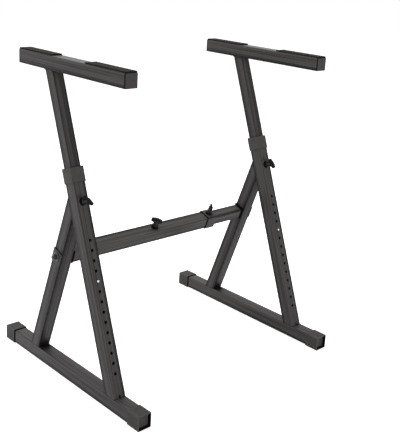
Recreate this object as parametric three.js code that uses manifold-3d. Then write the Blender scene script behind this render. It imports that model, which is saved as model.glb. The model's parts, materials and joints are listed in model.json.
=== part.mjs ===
// A keyboard stand with two welded side frames of square steel tube.
// Each frame has a base tube on the floor, a front leg that leans back, a rear leg
// that leans forward against it, and an arm on a post that slides in the front leg.
// A crossbar in two tubes that slide in each other joins the frames.
//
// Millimetres, +Z up. X runs from the left frame to the right one and the arms point
// along Y, with the keyboard player at -Y. The origin is on the floor, midway between
// the frames and halfway along the base tubes.

import * as THREE from "three";
import Module from "manifold-3d";
import { mergeVertices } from "three/addons/utils/BufferGeometryUtils.js";

const wasm = await Module();
wasm.setup();

// Frame tubes: base, legs, arms and outer crossbar
const tubeSide = 35;
const tubeWall = 1.5;
const tubeCorner = 1.8;

// Sliding tubes: posts and inner crossbar
const innerSide = 30;
const innerWall = 1.5;
const innerCorner = 1.8;

// Corners inside either size of tube
const boreCorner = 0.6;

// Clearances, and how far a cutter runs past the wall that it cuts
const seatGap = 0.3;
const cutOverrun = 2;

// Side frames
const frameSpread = 647;
const baseLength = 590;
const frontLegSetback = 95;
const rearLegSetback = 125.4;
const frontLegLength = 560.8;
const frontLean = THREE.MathUtils.degToRad(20.3);
const rearLegDrop = 92.15;
const ventRadius = 2.5;

// Boots on the base tubes
const capLength = 42;
const capWall = 2;
const capEndWall = 10.5;
const capCorner = 2.5;
const capChamfer = 1.5;
const capPanelInset = 2.5;
const capPanelDepth = 8;

// Height holes in the front face of the front leg, counted from the top
const holeCount = 14;
const restHole = 5;
const highestHoleDrop = 176.8;
const lowestHoleRise = 59;
const holeDiameter = 7;

// Moulded guides over the ends of the outer tubes
const guideWall = 2;
const guideLip = 2.5;
const guideCorner = 2.5;
const guideChamfer = 1;
const sleeveLength = 38;
const collarLength = 35;

// Posts, measured along the post from its snap button
const postAboveButton = 520;
const postBelowButton = 62;

// Arms, measured along Y from where the post's centre line meets the underside
const armFrontReach = 299.8;
const armRearReach = 130.7;
const frontPadLength = 150;
const rearPadLength = 140;
const padWidth = 33;
const padThickness = 3;
const padEdge = 0.8;
const padEndInset = 1;

// Moulded plugs in tube ends
const plugFlange = 2.5;
const plugEdge = 0.6;
const plugShank = 16;
const plugWall = 2;
const plugFins = 2;
const finThickness = 1.2;
const finRise = 1;
const finRowShare = 0.4;

// Snap buttons and their leaf springs
const buttonProud = 2.6;
const buttonDome = 2;
const buttonFlange = 10;
const buttonFlangeThickness = 1.2;
const springWidth = 8;
const springThickness = 0.8;
const springPad = 6;
const springDrop = 34;
const springBend = 4;
const springTailRise = 12;

// Clamp knobs, their screws and the threaded bosses that they turn in
const screwDiameter = 8;
const screwGrip = 12;
const bossDiameter = 18;
const bossHeight = 6;
const bossChamfer = 1;
const knobStandoff = 0.9;
const hubDiameter = 13;
const hubFlare = 17;
const hubFlareRim = 1.5;
const hubFlareHeight = 5;
const hubHeight = 19;
const hubCrown = 1.5;
const wingSpan = 30;
const wingRise = 11.5;
const wingTipHeight = 9.5;
const wingCrown = 2.5;
const wingThickness = 6.5;
const wingEdge = 0.8;
const wingTipCorner = 2;
const heightKnobDrop = 82.8;
const middleKnobReach = 272;
const leftKnobTurn = THREE.MathUtils.degToRad(142);
const rightKnobTurn = THREE.MathUtils.degToRad(114);
const middleKnobTurn = THREE.MathUtils.degToRad(156);
const collarKnobTurn = THREE.MathUtils.degToRad(52);

// Crossbar and its bolted ends
const crossbarDrop = 150.2;
const crossbarOuterLength = 491;
const crossbarInnerLength = 477;
const endPlateSide = 37.5;
const endPlateThickness = 3;
const endPlateCorner = 2;
const sidePlateThickness = 2.5;
const sidePlateRise = 17.5;
const sidePlateDrop = 20;
const sidePlateCorner = 3;
const boltDiameter = 8;
const boltHeadWidth = 13;
const boltHeadHeight = 5.5;
const boltTail = 2.5;
const washerDiameter = 24;
const washerThickness = 2;
const nutWidth = 13;
const nutHeight = 6;
const nutRingDiameter = 12;
const nutRingHeight = 2;

// Facets of round forms
const cornerFacets = 2;
const plugFacets = 1;
const curveFacets = 5;
const holeFacets = 16;
const turnedFacets = 20;
const hexFacets = 6;

// Sizes that follow from the ones above
const capSide = tubeSide + 2 * capWall;
const guideSide = tubeSide + 2 * guideWall;
const tubeBore = tubeSide - 2 * tubeWall;
const innerBore = innerSide - 2 * innerWall;
const baseTop = capWall + tubeSide;
const cutReach = 2 * (baseLength + frontLegLength);
const screwHole = screwDiameter + 2 * seatGap;
const boltHole = boltDiameter + 2 * seatGap;
const holePitch = (frontLegLength - highestHoleDrop - lowestHoleRise) / (holeCount - 1);
const restHoleRise = lowestHoleRise + (holeCount - restHole) * holePitch;
const heightKnobRise = frontLegLength - heightKnobDrop;
const crossbarEnd = frameSpread / 2 - tubeSide / 2 - endPlateThickness - 2 * seatGap;

// Frames of the pieces. In a leg's frame Z runs up the leg's centre line, and in the
// front leg's frame -Y is the way its front face looks.
const frontLegFrame = new THREE.Matrix4()
  .makeRotationX(-frontLean)
  .setPosition(
    0,
    frontLegSetback - baseLength / 2 + (tubeSide / 2) * Math.cos(frontLean),
    baseTop - (tubeSide / 2) * Math.sin(frontLean),
  );

// The rear leg's rear face rises from the base tube at its heel, and the leg's centre line
// meets the front leg's back at the crown
const heel = new THREE.Vector3(0, baseLength / 2 - rearLegSetback, baseTop);
const crown = new THREE.Vector3(0, tubeSide / 2, frontLegLength - rearLegDrop);
crown.applyMatrix4(frontLegFrame);
const heelToCrown = crown.distanceTo(heel);
const rearLean =
  Math.atan2(heel.y - crown.y, crown.z - heel.z) - Math.asin(tubeSide / 2 / heelToCrown);
const rearLegReach = Math.sqrt(heelToCrown ** 2 - (tubeSide / 2) ** 2);
const rearLegFrame = new THREE.Matrix4()
  .makeRotationX(rearLean)
  .setPosition(
    0,
    heel.y - (tubeSide / 2) * Math.cos(rearLean),
    heel.z - (tubeSide / 2) * Math.sin(rearLean),
  );
const postFrame = frontLegFrame
  .clone()
  .multiply(new THREE.Matrix4().makeTranslation(0, 0, restHoleRise));
const crossbarFrame = rearLegFrame
  .clone()
  .multiply(new THREE.Matrix4().makeTranslation(0, 0, rearLegReach - crossbarDrop));
const armRoot = new THREE.Vector3(0, 0, postAboveButton).applyMatrix4(postFrame);

// Materials
const finishes = {
  paintedSteel: { color: 0x4d4a4a, roughness: 0.48, metalness: 0.35 },
  mouldedPlastic: { color: 0x3f403e, roughness: 0.62, metalness: 0 },
  knobPlastic: { color: 0x161617, roughness: 0.5, metalness: 0 },
  blackSteel: { color: 0x1b1b1d, roughness: 0.45, metalness: 0.5 },
  rubber: { color: 0x232323, roughness: 0.9, metalness: 0 },
  chrome: { color: 0xe4e6e8, roughness: 0.12, metalness: 1 },
  springSteel: { color: 0x8b8d90, roughness: 0.35, metalness: 1 },
};

function piece(name, geometry, finish) {
  const mesh = new THREE.Mesh(geometry, new THREE.MeshStandardMaterial(finishes[finish]));
  mesh.name = name;
  return mesh;
}

// Solids: a closed geometry becomes a solid that others can join or cut
function solidOf(geometry) {
  const bare = geometry.clone();
  bare.deleteAttribute("normal");
  bare.deleteAttribute("uv");
  const merged = mergeVertices(bare);
  const corners = merged.index.array;
  const kept = [];
  for (let i = 0; i < corners.length; i += 3) {
    const [a, b, c] = corners.slice(i, i + 3);
    if (a !== b && b !== c && c !== a) {
      kept.push(a, b, c);
    }
  }
  return new wasm.Manifold(
    new wasm.Mesh({
      numProp: 3,
      vertProperties: Float32Array.from(merged.attributes.position.array),
      triVerts: Uint32Array.from(kept),
    }),
  );
}

function geometryOf(solid) {
  const mesh = solid.getMesh();
  const geometry = new THREE.BufferGeometry();
  geometry.setAttribute("position", new THREE.BufferAttribute(mesh.vertProperties, 3));
  geometry.setIndex(new THREE.BufferAttribute(mesh.triVerts, 1));
  geometry.computeVertexNormals();
  return geometry;
}

function cut(body, ...cutters) {
  return geometryOf(cutters.reduce((left, cutter) => left.subtract(solidOf(cutter)), solidOf(body)));
}

function join(body, ...others) {
  return geometryOf(others.reduce((whole, other) => whole.add(solidOf(other)), solidOf(body)));
}

// Forms
function squareOutline(path, side, corner) {
  const reach = side / 2 - corner;
  path.absarc(reach, reach, corner, 0, Math.PI / 2);
  path.absarc(-reach, reach, corner, Math.PI / 2, Math.PI);
  path.absarc(-reach, -reach, corner, Math.PI, 1.5 * Math.PI);
  path.absarc(reach, -reach, corner, 1.5 * Math.PI, 2 * Math.PI);
  path.closePath();
  return path;
}

function prism(side, corner, length, facets = cornerFacets) {
  return new THREE.ExtrudeGeometry(squareOutline(new THREE.Shape(), side, corner), {
    depth: length,
    bevelEnabled: false,
    curveSegments: facets,
  });
}

function squareTube(side, corner, wall, length) {
  const section = squareOutline(new THREE.Shape(), side, corner);
  section.holes.push(squareOutline(new THREE.Path(), side - 2 * wall, boreCorner));
  return new THREE.ExtrudeGeometry(section, {
    depth: length,
    bevelEnabled: false,
    curveSegments: cornerFacets,
  });
}

// A block that keeps its outline's size, with both ends chamfered
function chamferedBlock(shape, length, chamfer, facets) {
  const block = new THREE.ExtrudeGeometry(shape, {
    depth: length - 2 * chamfer,
    bevelThickness: chamfer,
    bevelSize: chamfer,
    bevelOffset: -chamfer,
    bevelSegments: 1,
    curveSegments: facets,
  });
  return block.translate(0, 0, chamfer);
}

// A rod along Z from low to high
function rod(diameter, low, high, facets) {
  return new THREE.CylinderGeometry(diameter / 2, diameter / 2, high - low, facets)
    .rotateX(Math.PI / 2)
    .translate(0, 0, (low + high) / 2);
}

// A turned form about Z from a profile of [radius, height] pairs
function turned(profile, facets) {
  const points = profile.map(([radius, height]) => new THREE.Vector2(radius, height));
  return new THREE.LatheGeometry(points, facets).rotateX(Math.PI / 2);
}

// A large block above (sign 1) or below (sign -1) a height
function beyond(height, sign) {
  return new THREE.BoxGeometry(cutReach, cutReach, cutReach).translate(
    0,
    0,
    height + (sign * cutReach) / 2,
  );
}

function seenFrom(geometry, frame, home) {
  const step = home.clone().invert().multiply(frame);
  return geometry.applyMatrix4(step);
}

const standFrame = new THREE.Matrix4();

// Base tube and boots
function baseTube() {
  const length = baseLength - 2 * (capEndWall + seatGap);
  return squareTube(tubeSide, tubeCorner, tubeWall, length).translate(0, 0, -length / 2);
}

function bootCap() {
  const outline = squareOutline(new THREE.Shape(), capSide, capCorner);
  const block = chamferedBlock(outline, capLength + capChamfer, capChamfer, cornerFacets);
  const bore = prism(tubeSide + 2 * seatGap, tubeCorner + seatGap, capLength);
  const panelSide = capSide - 2 * capPanelInset;
  const panel = prism(panelSide, capCorner - capChamfer, capPanelDepth + cutOverrun);
  return cut(
    block,
    beyond(capLength, 1),
    bore.translate(0, 0, capEndWall),
    panel.translate(0, 0, -cutOverrun),
  );
}

// Front leg: its foot is cut along the base tube, with a vent notch at the weld
function frontLeg() {
  const tube = squareTube(tubeSide, tubeCorner, tubeWall, frontLegLength + tubeSide);
  tube.translate(0, 0, -tubeSide);
  const floorCut = seenFrom(beyond(baseTop + seatGap, -1), standFrame, frontLegFrame);
  const notch = wallCutter(2 * ventRadius, 0);
  const holes = [];
  for (let i = 0; i < holeCount; i += 1) {
    holes.push(wallCutter(holeDiameter, lowestHoleRise + i * holePitch));
  }
  return cut(tube, floorCut, notch, ...holes, wallCutter(screwHole, heightKnobRise));
}

// A hole through the front wall of a leg, at a height up the leg
function wallCutter(diameter, height) {
  return rod(diameter, tubeSide / 2 - tubeWall - cutOverrun, tubeSide / 2 + cutOverrun, holeFacets)
    .rotateX(Math.PI / 2)
    .translate(0, 0, height);
}

// Rear leg: cut along the base tube below and the front leg's back above
function rearLeg() {
  const tube = squareTube(tubeSide, tubeCorner, tubeWall, rearLegReach + 3 * tubeSide);
  tube.translate(0, 0, -tubeSide);
  const floorCut = seenFrom(beyond(baseTop + seatGap, -1), standFrame, rearLegFrame);
  const backCut = beyond(-tubeSide / 2 - seatGap, 1).rotateX(Math.PI / 2);
  const legCut = seenFrom(backCut, frontLegFrame, rearLegFrame);
  const boltRod = rod(boltHole, -tubeSide, tubeSide, holeFacets).rotateY(Math.PI / 2);
  boltRod.translate(0, 0, rearLegReach - crossbarDrop);
  return cut(tube, floorCut, legCut, boltRod);
}

// A moulded guide over a tube's end: it grips the outer tube and its lip runs on the inner one
function guide(length) {
  const outline = squareOutline(new THREE.Shape(), guideSide, guideCorner);
  const block = chamferedBlock(outline, length + guideChamfer, guideChamfer, cornerFacets);
  const grip = prism(tubeSide + 2 * seatGap, tubeCorner + seatGap, length + cutOverrun);
  const pass = prism(innerSide + 2 * seatGap, innerCorner + seatGap, length + 2 * cutOverrun);
  return cut(
    block.translate(0, 0, -guideChamfer),
    beyond(0, -1),
    grip.translate(0, 0, -guideLip - cutOverrun),
    pass.translate(0, 0, -cutOverrun),
  );
}

function collar() {
  const bossPass = rod(bossDiameter + 2 * seatGap, 0, guideSide, turnedFacets);
  return cut(guide(collarLength), bossPass.rotateY(-Math.PI / 2).translate(0, 0, collarLength / 2));
}

// Post: drilled for the snap button and cut along the arm's underside
function post() {
  const length = postBelowButton + postAboveButton + innerSide;
  const tube = squareTube(innerSide, innerCorner, innerWall, length);
  tube.translate(0, 0, -postBelowButton);
  const armCut = seenFrom(beyond(armRoot.z - seatGap, 1), standFrame, postFrame);
  const wallHole = rod(holeDiameter, innerBore / 2 - cutOverrun, innerSide / 2 + cutOverrun, holeFacets);
  return cut(tube, armCut, wallHole.rotateX(Math.PI / 2));
}

// A moulded plug: a flange at the end and a finned, hollow shank in the bore
function endPlug(flangeSide, flangeCorner, bore) {
  const flange = chamferedBlock(
    squareOutline(new THREE.Shape(), flangeSide, flangeCorner),
    plugFlange,
    plugEdge,
    plugFacets,
  );
  const finSide = bore - 2 * seatGap;
  const coreSide = finSide - 2 * finRise;
  const coreCorner = boreCorner * (coreSide / finSide);
  const core = prism(coreSide, coreCorner, plugFlange / 2 + plugShank, plugFacets);
  const finPitch = plugShank / plugFins;
  const fins = [];
  for (let i = 1; i <= plugFins; i += 1) {
    const top = plugFlange + (i - finRowShare) * finPitch;
    fins.push(prism(finSide, boreCorner, finThickness, plugFacets).translate(0, 0, top));
  }
  const hollowSide = coreSide - 2 * plugWall;
  const hollowCorner = coreCorner * (hollowSide / coreSide);
  const hollow = prism(hollowSide, hollowCorner, plugShank + cutOverrun, plugFacets);
  return cut(
    join(flange, core.translate(0, 0, plugFlange / 2), ...fins),
    hollow.translate(0, 0, plugFlange),
  );
}

function armPlug() {
  return endPlug(tubeSide, tubeCorner, tubeBore);
}

function slidePlug() {
  return endPlug(tubeBore - 2 * seatGap, innerCorner, innerBore);
}

// Arm tube and pads
function armTube() {
  const length = armFrontReach + armRearReach - 2 * (plugFlange + seatGap);
  return squareTube(tubeSide, tubeCorner, tubeWall, length);
}

function pad(length) {
  const strip = new THREE.Shape();
  strip.moveTo(-padWidth / 2, -length / 2);
  strip.lineTo(padWidth / 2, -length / 2);
  strip.lineTo(padWidth / 2, length / 2);
  strip.lineTo(-padWidth / 2, length / 2);
  strip.closePath();
  const block = chamferedBlock(strip, padThickness + padEdge, padEdge, cornerFacets);
  return cut(block.translate(0, 0, -padEdge), beyond(0, -1));
}

// Snap button about Z, its flange behind the post's wall and its dome outside the leg
function snapButton() {
  const radius = (holeDiameter - 2 * seatGap) / 2;
  const top = tubeSide / 2 - innerBore / 2 + buttonProud;
  const profile = [
    [0, -seatGap - buttonFlangeThickness],
    [buttonFlange / 2, -seatGap - buttonFlangeThickness],
    [buttonFlange / 2, -seatGap],
    [radius, -seatGap],
  ];
  for (let i = 0; i <= curveFacets; i += 1) {
    const turn = (i / curveFacets) * (Math.PI / 2);
    profile.push([radius * Math.cos(turn), top - buttonDome + buttonDome * Math.sin(turn)]);
  }
  profile[profile.length - 1][0] = 0;
  return turned(profile, holeFacets);
}

// Leaf spring: a V on its bend, drawn in the post's YZ plane
function buttonSpring() {
  const front = -innerBore / 2 + 2 * seatGap + buttonFlangeThickness;
  const back = innerBore / 2 - seatGap;
  const middle = (front + back) / 2;
  const outer = springBend + springThickness;
  const leaf = new THREE.Shape();
  leaf.moveTo(front, springPad);
  leaf.lineTo(front, -springPad);
  leaf.lineTo(middle - outer, -springDrop);
  leaf.absarc(middle, -springDrop, outer, Math.PI, 2 * Math.PI);
  leaf.lineTo(back, springTailRise);
  leaf.lineTo(back - springThickness, springTailRise);
  leaf.lineTo(middle + springBend, -springDrop);
  leaf.absarc(middle, -springDrop, springBend, 2 * Math.PI, Math.PI, true);
  leaf.lineTo(front + springThickness, -springPad);
  leaf.lineTo(front + springThickness, springPad);
  leaf.closePath();
  const strip = new THREE.ExtrudeGeometry(leaf, {
    depth: springWidth,
    bevelEnabled: false,
    curveSegments: curveFacets,
  });
  const axes = new THREE.Matrix4().makeBasis(
    new THREE.Vector3(0, 1, 0),
    new THREE.Vector3(0, 0, 1),
    new THREE.Vector3(1, 0, 0),
  );
  return strip.translate(0, 0, -springWidth / 2).applyMatrix4(axes);
}

// Clamp: boss, screw and knob stand on a tube's outer face, with Z pointing out of it
function boss() {
  return turned(
    [
      [screwHole / 2, seatGap],
      [bossDiameter / 2, seatGap],
      [bossDiameter / 2, seatGap + bossHeight - bossChamfer],
      [bossDiameter / 2 - bossChamfer, seatGap + bossHeight],
      [screwHole / 2, seatGap + bossHeight],
      [screwHole / 2, seatGap],
    ],
    turnedFacets,
  );
}

const knobFoot = seatGap + bossHeight + knobStandoff;

function clampScrew() {
  const tip = innerSide / 2 + seatGap - tubeSide / 2;
  return rod(screwDiameter, tip, knobFoot + screwGrip, holeFacets);
}

function knobHub() {
  return turned(
    [
      [0, 0],
      [hubFlare / 2, 0],
      [hubFlare / 2, hubFlareRim],
      [hubDiameter / 2, hubFlareHeight],
      [hubDiameter / 2, hubHeight - hubCrown],
      [hubDiameter / 2 - hubCrown, hubHeight],
      [0, hubHeight],
    ],
    turnedFacets,
  );
}

// Wing: an arched top, rounded tips and an underside that sweeps into the hub
function knobWing() {
  const tip = wingSpan / 2;
  const tipTop = wingRise + wingTipHeight;
  const outline = new THREE.Shape();
  outline.moveTo(-tip, wingRise);
  outline.quadraticCurveTo(-hubDiameter / 2, wingRise, -hubDiameter / 2, hubFlareHeight);
  outline.lineTo(hubDiameter / 2, hubFlareHeight);
  outline.quadraticCurveTo(hubDiameter / 2, wingRise, tip, wingRise);
  outline.lineTo(tip, tipTop - wingTipCorner);
  outline.quadraticCurveTo(tip, tipTop, tip - wingTipCorner, tipTop);
  outline.quadraticCurveTo(0, tipTop + 2 * wingCrown, wingTipCorner - tip, tipTop);
  outline.quadraticCurveTo(-tip, tipTop, -tip, tipTop - wingTipCorner);
  outline.closePath();
  return chamferedBlock(outline, wingThickness, wingEdge, curveFacets)
    .translate(0, 0, -wingThickness / 2)
    .rotateX(Math.PI / 2);
}

function clampKnob() {
  const socket = rod(screwHole, -cutOverrun, screwGrip + seatGap, holeFacets);
  return cut(join(knobHub(), knobWing()), socket).translate(0, 0, knobFoot);
}

// Pieces of the bolted crossbar ends, along X from the leg's centre line outwards
const endPlateFoot = tubeSide / 2 + seatGap;
const boltHeadFoot = endPlateFoot + endPlateThickness + seatGap;
const washerFoot = tubeSide / 2 + sidePlateThickness + 2 * seatGap;
const nutFoot = washerFoot + washerThickness + seatGap;

function sidePlate() {
  const reach = tubeSide / 2;
  const arcReach = reach - sidePlateCorner;
  const arcDrop = sidePlateCorner - sidePlateDrop;
  const plate = new THREE.Shape();
  plate.moveTo(reach, sidePlateRise);
  plate.lineTo(-reach, sidePlateRise);
  plate.absarc(-arcReach, arcDrop, sidePlateCorner, Math.PI, 1.5 * Math.PI);
  plate.absarc(arcReach, arcDrop, sidePlateCorner, 1.5 * Math.PI, 2 * Math.PI);
  plate.closePath();
  const block = new THREE.ExtrudeGeometry(plate, {
    depth: sidePlateThickness,
    bevelEnabled: false,
    curveSegments: curveFacets,
  });
  const hole = rod(boltHole, -cutOverrun, sidePlateThickness + cutOverrun, holeFacets);
  const axes = new THREE.Matrix4().makeBasis(
    new THREE.Vector3(0, 1, 0),
    new THREE.Vector3(0, 0, 1),
    new THREE.Vector3(1, 0, 0),
  );
  return cut(block, hole).applyMatrix4(axes).translate(tubeSide / 2 + seatGap, 0, 0);
}

function endPlate() {
  const block = prism(endPlateSide, endPlateCorner, endPlateThickness);
  const hole = rod(boltHole, -cutOverrun, endPlateThickness + cutOverrun, holeFacets);
  return cut(block, hole).rotateY(-Math.PI / 2).translate(-endPlateFoot, 0, 0);
}

function hexRod(width, low, high) {
  return rod(width / Math.cos(Math.PI / hexFacets), low, high, hexFacets);
}

function washer() {
  const disc = rod(washerDiameter, washerFoot, washerFoot + washerThickness, turnedFacets);
  const hole = rod(boltHole, washerFoot - cutOverrun, nutFoot + cutOverrun, holeFacets);
  return cut(disc, hole).rotateY(Math.PI / 2);
}

// Lock nut: a hexagon with a round ring on its outer end
function lockNut() {
  const top = nutFoot + nutHeight + nutRingHeight;
  const hexagon = hexRod(nutWidth, nutFoot, nutFoot + nutHeight);
  const ringBand = rod(nutRingDiameter, nutFoot + nutHeight / 2, top, turnedFacets);
  const hole = rod(boltHole, nutFoot - cutOverrun, top + cutOverrun, holeFacets);
  return cut(join(hexagon, ringBand), hole).rotateY(Math.PI / 2);
}

// The bolt's head is inside the crossbar's end and its tip stands out of the lock nut
function crossbarBolt() {
  const tip = nutFoot + nutHeight + nutRingHeight + boltTail;
  const head = hexRod(boltHeadWidth, -boltHeadFoot - boltHeadHeight, -boltHeadFoot);
  const shank = rod(boltDiameter, -boltHeadFoot - boltHeadHeight / 2, tip, holeFacets);
  return join(head, shank).rotateY(Math.PI / 2);
}

// Crossbar tubes along X, with their clamp holes in the upper face
function crossbarOuter() {
  const tube = squareTube(tubeSide, tubeCorner, tubeWall, crossbarOuterLength);
  tube.rotateY(Math.PI / 2).translate(-crossbarEnd, 0, 0);
  const low = tubeSide / 2 - tubeWall - cutOverrun;
  const holes = [middleKnobX, collarKnobX].map((x) =>
    rod(screwHole, low, tubeSide / 2 + cutOverrun, holeFacets).translate(x, 0, 0),
  );
  return cut(tube, ...holes);
}

function crossbarInner() {
  const tube = squareTube(innerSide, innerCorner, innerWall, crossbarInnerLength);
  return tube.rotateY(Math.PI / 2).translate(crossbarEnd - crossbarInnerLength, 0, 0);
}

const collarTip = crossbarOuterLength - crossbarEnd + seatGap + guideLip;
const middleKnobX = middleKnobReach - crossbarEnd;
const collarKnobX = collarTip - collarLength / 2;

// Assembly
function groupIn(frame, ...children) {
  const group = new THREE.Group();
  group.applyMatrix4(frame);
  group.add(...children);
  return group;
}

function laid(mesh, turnX, x, y, z) {
  mesh.rotation.x = turnX;
  mesh.position.set(x, y, z);
  return mesh;
}

function clamp(name, knobTurn) {
  const knob = piece(`${name}_knob`, clampKnob(), "knobPlastic");
  knob.rotation.z = knobTurn;
  return [
    piece(`${name}_boss`, boss(), "blackSteel"),
    piece(`${name}_screw`, clampScrew(), "blackSteel"),
    knob,
  ];
}

function baseGroup(name) {
  const along = -Math.PI / 2;
  const middle = capWall + tubeSide / 2;
  return [
    laid(piece(`${name}_base_tube`, baseTube(), "paintedSteel"), along, 0, 0, middle),
    laid(piece(`${name}_front_cap`, bootCap(), "mouldedPlastic"), along, 0, -baseLength / 2, middle),
    laid(piece(`${name}_rear_cap`, bootCap(), "mouldedPlastic"), -along, 0, baseLength / 2, middle),
  ];
}

function frontLegGroup(name, knobTurn) {
  const sleeve = piece(`${name}_leg_sleeve`, guide(sleeveLength), "paintedSteel");
  sleeve.position.z = frontLegLength + seatGap + guideLip - sleeveLength;
  const knobFrame = new THREE.Matrix4()
    .makeRotationX(Math.PI / 2)
    .setPosition(0, -tubeSide / 2, heightKnobRise);
  return groupIn(
    frontLegFrame,
    piece(`${name}_front_leg`, frontLeg(), "paintedSteel"),
    sleeve,
    groupIn(knobFrame, ...clamp(`${name}_height`, knobTurn)),
  );
}

function postGroup(name) {
  const button = piece(`${name}_snap_button`, snapButton(), "chrome");
  const foot = piece(`${name}_post_foot`, slidePlug(), "mouldedPlastic");
  foot.position.z = -postBelowButton - seatGap - plugFlange;
  return groupIn(
    postFrame,
    piece(`${name}_post`, post(), "paintedSteel"),
    foot,
    laid(button, Math.PI / 2, 0, -innerBore / 2, 0),
    piece(`${name}_button_spring`, buttonSpring(), "springSteel"),
  );
}

function armGroup(name) {
  const along = -Math.PI / 2;
  const tubeStart = -armFrontReach + plugFlange + seatGap;
  const group = groupIn(
    new THREE.Matrix4().makeTranslation(0, armRoot.y, armRoot.z + tubeSide / 2),
    laid(piece(`${name}_arm_tube`, armTube(), "paintedSteel"), along, 0, tubeStart, 0),
    laid(piece(`${name}_arm_front_plug`, armPlug(), "mouldedPlastic"), along, 0, -armFrontReach, 0),
    laid(piece(`${name}_arm_rear_plug`, armPlug(), "mouldedPlastic"), -along, 0, armRearReach, 0),
  );
  const padFoot = tubeSide / 2 + seatGap;
  const frontPad = piece(`${name}_front_pad`, pad(frontPadLength), "rubber");
  frontPad.position.set(0, padEndInset + frontPadLength / 2 - armFrontReach, padFoot);
  const rearPad = piece(`${name}_rear_pad`, pad(rearPadLength), "rubber");
  rearPad.position.set(0, armRearReach - padEndInset - rearPadLength / 2, padFoot);
  group.add(frontPad, rearPad);
  return group;
}

// In this group +X points outwards on either frame
function crossbarFixing(name, side) {
  const group = groupIn(
    new THREE.Matrix4(),
    piece(`${name}_side_plate`, sidePlate(), "paintedSteel"),
    piece(`${name}_crossbar_washer`, washer(), "blackSteel"),
    piece(`${name}_crossbar_nut`, lockNut(), "blackSteel"),
    piece(`${name}_crossbar_bolt`, crossbarBolt(), "blackSteel"),
    piece(`${name}_end_plate`, endPlate(), "blackSteel"),
  );
  group.rotation.z = side > 0 ? 0 : Math.PI;
  return groupIn(crossbarFrame, group);
}

function sideFrame(name, side, knobTurn) {
  return groupIn(
    new THREE.Matrix4().makeTranslation((side * frameSpread) / 2, 0, 0),
    ...baseGroup(name),
    frontLegGroup(name, knobTurn),
    groupIn(rearLegFrame, piece(`${name}_rear_leg`, rearLeg(), "paintedSteel")),
    postGroup(name),
    armGroup(name),
    crossbarFixing(name, side),
  );
}

function crossbarGroup() {
  const collarFrame = new THREE.Matrix4()
    .makeRotationY(Math.PI / 2)
    .setPosition(collarTip - collarLength, 0, 0);
  const plugFrame = new THREE.Matrix4()
    .makeRotationY(Math.PI / 2)
    .setPosition(crossbarEnd - crossbarInnerLength - seatGap - plugFlange, 0, 0);
  const faceAt = (x) => new THREE.Matrix4().makeTranslation(x, 0, tubeSide / 2);
  return groupIn(
    crossbarFrame,
    piece("crossbar_outer_tube", crossbarOuter(), "paintedSteel"),
    piece("crossbar_inner_tube", crossbarInner(), "paintedSteel"),
    groupIn(collarFrame, piece("crossbar_collar", collar(), "paintedSteel")),
    groupIn(plugFrame, piece("crossbar_inner_plug", slidePlug(), "mouldedPlastic")),
    groupIn(faceAt(middleKnobX), ...clamp("crossbar_middle", middleKnobTurn)),
    groupIn(faceAt(collarKnobX), ...clamp("crossbar_collar", collarKnobTurn)),
  );
}

const stand = new THREE.Group();
stand.add(
  sideFrame("left", -1, leftKnobTurn),
  sideFrame("right", 1, rightKnobTurn),
  crossbarGroup(),
);

export default stand;
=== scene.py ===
"""Looks of the keyboard stand: detailed pieces, materials, light and camera."""
import json
import random
from math import asin, atan2, cos, degrees, pi, radians, sin, sqrt

import bpy
from mathutils import Matrix, Vector


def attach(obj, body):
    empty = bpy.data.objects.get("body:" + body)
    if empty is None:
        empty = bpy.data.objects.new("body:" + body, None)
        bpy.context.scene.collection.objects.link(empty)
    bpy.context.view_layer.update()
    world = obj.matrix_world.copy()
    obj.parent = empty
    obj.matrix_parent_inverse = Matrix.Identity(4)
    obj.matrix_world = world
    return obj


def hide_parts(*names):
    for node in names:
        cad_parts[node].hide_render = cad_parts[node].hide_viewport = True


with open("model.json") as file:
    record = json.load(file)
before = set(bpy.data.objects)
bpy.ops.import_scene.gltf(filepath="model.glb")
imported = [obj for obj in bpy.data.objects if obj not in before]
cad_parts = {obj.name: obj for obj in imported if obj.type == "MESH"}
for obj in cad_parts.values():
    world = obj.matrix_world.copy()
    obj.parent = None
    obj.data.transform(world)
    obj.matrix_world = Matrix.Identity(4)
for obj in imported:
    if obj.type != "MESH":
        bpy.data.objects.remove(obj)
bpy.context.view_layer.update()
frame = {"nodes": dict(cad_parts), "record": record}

# Sizes are in millimetres and follow the CAD source. Pieces are modelled in millimetres in
# their own frames and laid into the scene in metres.
MM = 0.001
QUARTER = pi / 2
UP = (0, 0, 1)

TUBE, TUBE_WALL, TUBE_CORNER = 35.0, 1.5, 1.8
HALF = TUBE / 2
INNER, INNER_WALL, INNER_CORNER = 30.0, 1.5, 1.8
OUTER_TUBE = (TUBE, TUBE_WALL, TUBE_CORNER)
INNER_TUBE = (INNER, INNER_WALL, INNER_CORNER)
BORE_CORNER = 0.6
GAP = 0.3

SPREAD = 647.0
BASE_LENGTH = 590.0
FRONT_SETBACK = 95.0
REAR_SETBACK = 125.4
LEG_LENGTH = 560.8
FRONT_LEAN = radians(20.3)
REAR_DROP = 92.15

CAP_LENGTH, CAP_WALL, CAP_END_WALL, CAP_CORNER = 42.0, 2.0, 10.5, 2.5
# The cap's recess, and the width of painted shade on the tube behind a rear cap
CAP_PANEL_INSET, CAP_PANEL_DEPTH, CAP_GAP_SHADE = 2.5, 8.0, 3.8

HOLE_COUNT, REST_HOLE = 14, 5
HIGHEST_HOLE_DROP, LOWEST_HOLE_RISE = 176.8, 59.0
HOLE, BURR = 7.0, 0.5
HOLE_SIDE = 5
VENT_RADIUS, VENT_RISE = 2.8, 7.5
CUT_REACH = 4

GUIDE_WALL, GUIDE_LIP, GUIDE_CORNER = 2.0, 2.5, 2.5
SLEEVE_LENGTH, SLEEVE_RIM = 38.0, 1.1
COLLAR_LENGTH, COLLAR_RIM = 35.0, 2.6

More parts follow.
